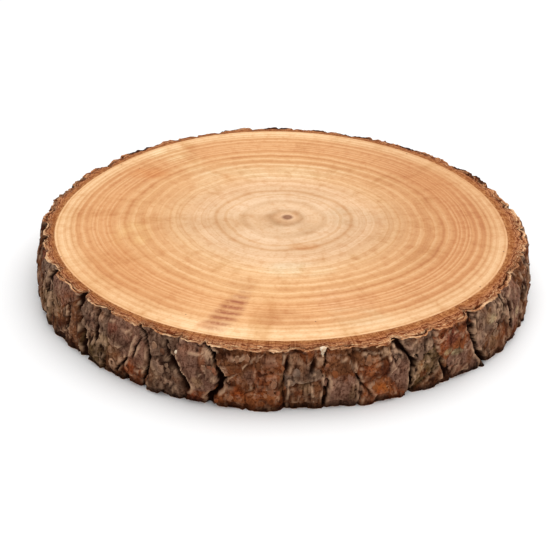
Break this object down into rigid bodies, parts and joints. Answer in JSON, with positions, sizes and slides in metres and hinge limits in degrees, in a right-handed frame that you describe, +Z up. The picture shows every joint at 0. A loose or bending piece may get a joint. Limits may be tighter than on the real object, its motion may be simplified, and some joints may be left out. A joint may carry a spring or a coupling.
{
  "type": "wood slice",
  "caption": "Round slice sawn across a tree trunk, flat on both faces, with rough plated bark left on all round its edge.",
  "frame": {"origin": "centre of the underside, on the surface that the slice rests on", "axes": "+Z up along the trunk, across the thickness; +X along the slice's longest width; the picture's near side is -Y"},
  "size_m": [0.2552, 0.2512, 0.03],
  "materials": {
    "wood": "sawn and lightly sanded, unvarnished, with growth rings; rough grey-brown bark round the edge"
  },
  "bodies": {
    "root": {"wood_slice": "wood"}
  },
  "joints": []
}
